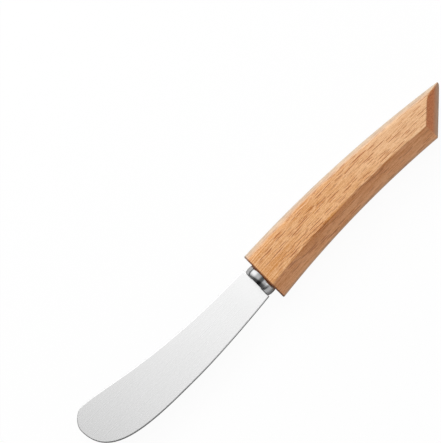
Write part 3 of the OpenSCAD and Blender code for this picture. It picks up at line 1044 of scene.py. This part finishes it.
def floor_material(settings):
    """Pale floor that is seen nearly white and keeps the knife's shadow; metal mirrors it with a shadow
    painted along the knife.
    """
    material, make = bare_material("pale_floor")
    place = make.add("ShaderNodeTexCoord").outputs["Object"]
    aside = make.math("ABSOLUTE", make.add("ShaderNodeSeparateXYZ", {0: place}).outputs[1])
    # Painted shadow: metal mirrors the floor darker within the shadow reach of the knife's axis
    painted_floor_shadow = make.add("ShaderNodeMapRange", {"Value": aside, "From Max": settings.shadow_reach,
                                             "To Min": settings.mirrored_floor_shadow})
    mirrored = make.add("ShaderNodeLightPath").outputs["Is Glossy Ray"]
    shade = make.add("ShaderNodeMix", {"Factor": mirrored}, data_type="FLOAT")
    shade.inputs["A"].default_value = 1.0
    make.put(shade.inputs["B"], painted_floor_shadow)
    paint = make.add("ShaderNodeVectorMath", {0: settings.floor}, operation="SCALE")
    make.put(paint.inputs["Scale"], shade)
    matt = make.add("ShaderNodeBsdfDiffuse", {"Color": paint})
    glow = make.add("ShaderNodeEmission", {"Strength": 1.0})
    shown = make.math("MULTIPLY", seen(make, settings.floor_mirrored), settings.floor_glow)
    both = make.add("ShaderNodeMixShader", {0: shown, 1: matt, 2: glow})
    make.put(make.add("ShaderNodeOutputMaterial").inputs["Surface"], both)
    return material


FLOOR_HALF = 4.0


def make_floor(settings):
    """Large flat floor under the knife."""
    corners = [(x * FLOOR_HALF, y * FLOOR_HALF, 0) for x, y in ((-1, -1), (1, -1), (1, 1), (-1, 1))]
    staged_mesh("floor", corners, [(0, 1, 2, 3)], floor_material(settings))


# The tent's panels, from the foot of the belly side's wall to that of the spine side's: where
# each starts and stops, in degrees off vertical, and its brightness. Light blends in between.
TENT_PANELS = {
    "belly foot": (-90, -80, 0.8),
    "strip light": (-70, -64, 1.7),
    "belly sheet": (-55, -42, 1.15),
    "dark gap": (-25, -15, 0.2),
    "roof over the blade": (7, 18, 1.05),
    "main panel": (48, 70, 2.15),
    "spine foot": (84, 90, 0.2),
}
TENT_RADIUS, TENT_HALF_LENGTH = 0.9, 1.0
TENT_FACES = 60


def tent_material(settings):
    """Glow of the tent's panels, dimmer over the blade's nose and towards the butt."""
    material, make = bare_material("tent")
    place = make.add("ShaderNodeTexCoord").outputs["Object"]
    x, y, z = make.add("ShaderNodeSeparateXYZ", {0: place}).outputs
    turn = make.math("MULTIPLY_ADD", make.math("ARCTAN2", y, z), 1 / math.pi, 0.5)
    panels = make.add("ShaderNodeFloatCurve", {"Value": turn})
    curve = panels.mapping.curves[0]
    top = max(glow for _, _, glow in TENT_PANELS.values())
    stops = [(degrees / 180 + 0.5, glow / top)
             for start, stop, glow in TENT_PANELS.values() for degrees in (start, stop)]
    curve.points[0].location, curve.points[1].location = stops[0], stops[-1]
    for stop in stops[1:-1]:
        curve.points.new(*stop)
    for point in curve.points:
        point.handle_type = "AUTO_CLAMPED"
    panels.mapping.update()
    level = make.math("MULTIPLY", panels, top)
    slanted = make.math("MULTIPLY_ADD", y, settings.slant, x)
    names = ("From Min", "From Max", "To Min", "To Max")
    fade = (settings.fade_from, settings.fade_to, settings.fade_low, settings.fade_high)
    dark_end = (settings.dark_from, settings.dark_to, settings.dark_level, 1.0)
    back = (settings.back_from, settings.back_to, 1.0, settings.back_level)
    for at, span in ((x, fade), (slanted, dark_end), (x, back)):
        share_left = make.add("ShaderNodeMapRange", {"Value": at, **dict(zip(names, span))})
        level = make.math("MULTIPLY", level, share_left)
    glow = make.add("ShaderNodeEmission", {"Strength": level})
    make.put(make.add("ShaderNodeOutputMaterial").inputs["Surface"], glow)
    return material


def make_tent(settings):
    """Half round tent over the knife that only mirrored rays see."""
    rim = [(math.sin(a) * TENT_RADIUS, math.cos(a) * TENT_RADIUS)
           for a in np.linspace(-math.pi / 2, math.pi / 2, TENT_FACES + 1)]
    points = [(x, y, z) for x in (-TENT_HALF_LENGTH, TENT_HALF_LENGTH) for y, z in rim]
    count = len(rim)
    walls = [(i, i + 1, count + i + 1, count + i) for i in range(count - 1)]
    tent = staged_mesh("tent", points, walls, tent_material(settings))
    tent.location = (FRONT_X, 0.0, AXIS_Z)
    end = staged_mesh("tent_end", [(-TENT_HALF_LENGTH, y, z) for y, z in rim],
                      [tuple(range(count))], end_material(settings))
    end.location = tent.location
    for piece in (tent, end):
        piece.visible_camera = piece.visible_diffuse = piece.visible_shadow = False
        piece.visible_transmission = piece.visible_volume_scatter = False


def end_material(settings):
    """Dim end wall of the tent, beyond the blade's nose."""
    material, make = bare_material("tent_end")
    glow = make.add("ShaderNodeEmission", {"Strength": settings.end_wall})
    make.put(make.add("ShaderNodeOutputMaterial").inputs["Surface"], glow)
    return material


def staged_mesh(name, points, faces, material):
    """A mesh that belongs to the stage."""
    mesh = bpy.data.meshes.new(name)
    mesh.from_pydata(points, [], faces)
    mesh.materials.append(material)
    piece = linked(name, mesh)
    return piece


def facing(place, aim):
    """A placement whose own back looks at a point."""
    way = Vector(place) - Vector(aim)
    return Matrix.Translation(Vector(place)) @ way.to_track_quat("Z", "Y").to_matrix().to_4x4()


# Place, aim and size of each lamp, in metres
LAMPS = {
    "key": ((-0.05, 0.62, 0.52), (0, 0, 0), (0.7, 0.45)),
    "top": ((0.12, 0.14, 0.75), (0, 0.05, 0), (0.5, 0.35)),
    "fill": ((0.0, -0.85, 0.40), (0, 0, 0), (0.9, 0.35)),
}


def make_lamp(name, power, place, aim, size):
    """Soft rectangular lamp."""
    data = bpy.data.lights.new(name, "AREA")
    data.shape = "RECTANGLE"
    data.energy, data.size, data.size_y = power, size[0], size[1]
    lamp = linked(name, data)
    lamp.matrix_world = facing(place, aim)
    lamp.visible_camera = lamp.visible_glossy = False


def make_world(settings):
    """Even light from all round, seen as plain white."""
    world = bpy.data.worlds.new("studio")
    world.use_nodes = True
    world.node_tree.nodes.clear()
    make = TreeMaker(world.node_tree)
    soft = make.add("ShaderNodeBackground", {"Strength": settings.ambient})
    white = make.add("ShaderNodeBackground", {"Color": (1, 1, 1, 1), "Strength": 1.0})
    make.put(soft.inputs["Color"], (1, 1, 1, 1))
    both = make.add("ShaderNodeMixShader", {0: seen(make), 1: soft, 2: white})
    make.put(make.add("ShaderNodeOutputWorld").inputs["Surface"], both)
    bpy.context.scene.world = world


def make_camera(settings):
    """Camera that puts the handle's front at its place in the picture, at the photograph's angle."""
    focus = settings.lens / SENSOR_WIDTH * max(PHOTO_WIDTH, PHOTO_HEIGHT)
    depth = focus * settings.pixel_size
    lift, roll = settings.elevation, settings.roll
    back = Vector((0.0, -math.cos(lift), math.sin(lift)))
    level_up = Vector((0.0, math.sin(lift), math.cos(lift)))
    right = Vector((math.cos(roll), 0, 0)) - math.sin(roll) * level_up
    up = Vector((math.sin(roll), 0, 0)) + math.cos(roll) * level_up
    straight = Matrix((right, up, back)).transposed()
    sight = Vector(((settings.anchor_x - PHOTO_WIDTH / 2) / focus,
                    (PHOTO_HEIGHT / 2 - settings.anchor_y) / focus, -1.0))
    aside = Vector((0.0, 0.0, -1.0)).rotation_difference(sight.normalized()).to_matrix()
    data = bpy.data.cameras.new("camera")
    data.lens, data.sensor_width = settings.lens, SENSOR_WIDTH
    data.clip_start, data.clip_end = 0.05, 50.0
    camera = linked("camera", data)
    anchor = Vector((FRONT_X, 0.0, AXIS_Z))
    turned = (straight @ aside.transposed()).to_4x4()
    camera.matrix_world = Matrix.Translation(anchor + back * depth * sight.length) @ turned
    bpy.context.scene.camera = camera


# Operators

class KNIFE_OT_blade(bpy.types.Operator):
    """Make the blade and its tang"""
    bl_idname = "knife.blade"
    bl_label = "Blade"

    def execute(self, context):
        sizes = context.scene.knife.blade
        hand_over(make_blade(sizes), "blade", satin_steel(sizes))
        return {"FINISHED"}


class KNIFE_OT_ferrule(bpy.types.Operator):
    """Turn the ferrule"""
    bl_idname = "knife.ferrule"
    bl_label = "Ferrule"

    def execute(self, context):
        sizes = context.scene.knife.ferrule
        material = polished_steel(sizes)
        hand_over(make_ferrule(sizes, material), "ferrule", material)
        return {"FINISHED"}


class KNIFE_OT_handle(bpy.types.Operator):
    """Make the wooden handle"""
    bl_idname = "knife.handle"
    bl_label = "Handle"

    def execute(self, context):
        sizes = context.scene.knife.handle
        hand_over(make_handle(sizes), "handle", beech_wood(sizes))
        return {"FINISHED"}


class KNIFE_OT_adhesive(bpy.types.Operator):
    """Finish the adhesive inside the handle"""
    bl_idname = "knife.adhesive"
    bl_label = "Adhesive"

    def execute(self, context):
        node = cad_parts["tang_adhesive"]
        node.data.materials.clear()
        node.data.materials.append(cured_adhesive())
        return {"FINISHED"}


class KNIFE_OT_stage(bpy.types.Operator):
    """Set up floor, lamps and camera"""
    bl_idname = "knife.stage"
    bl_label = "Stage"

    def execute(self, context):
        settings = context.scene.knife.stage
        context.scene.view_settings.view_transform = "Standard"
        make_floor(settings)
        make_world(settings)
        for name, (place, aim, size) in LAMPS.items():
            make_lamp(f"{name}_lamp", getattr(settings, name), place, aim, size)
        make_tent(settings)
        make_camera(settings)
        return {"FINISHED"}


class KNIFE_PT_panel(bpy.types.Panel):
    """Lists the knife's steps and sizes"""
    bl_idname = "KNIFE_PT_panel"
    bl_label = "Butter Knife"
    bl_space_type = "VIEW_3D"
    bl_region_type = "UI"
    bl_category = "Knife"

    def draw(self, context):
        settings = context.scene.knife
        for operator in STEPS:
            self.layout.operator(operator.bl_idname)
        for group in (settings.blade, settings.ferrule, settings.handle, settings.stage):
            box = self.layout.box()
            box.label(text=group.bl_rna.name)
            for name in group.__annotations__:
                box.prop(group, name)


STEPS = (KNIFE_OT_blade, KNIFE_OT_ferrule, KNIFE_OT_handle, KNIFE_OT_adhesive, KNIFE_OT_stage)
CLASSES = (KnifeBlade, KnifeFerrule, KnifeHandle, KnifeStage, KnifeSettings, *STEPS, KNIFE_PT_panel)


def register():
    """Adds the classes and the settings to Blender."""
    for item in CLASSES:
        bpy.utils.register_class(item)
    bpy.types.Scene.knife = PointerProperty(type=KnifeSettings)


def unregister():
    """Takes the settings and the classes out again."""
    del bpy.types.Scene.knife
    for item in reversed(CLASSES):
        bpy.utils.unregister_class(item)


def main():
    """Makes every piece and the stage."""
    register()
    bpy.ops.knife.blade()
    bpy.ops.knife.ferrule()
    bpy.ops.knife.handle()
    bpy.ops.knife.adhesive()
    bpy.ops.knife.stage()
    bpy.context.view_layer.update()


if __name__ == "__main__":
    main()
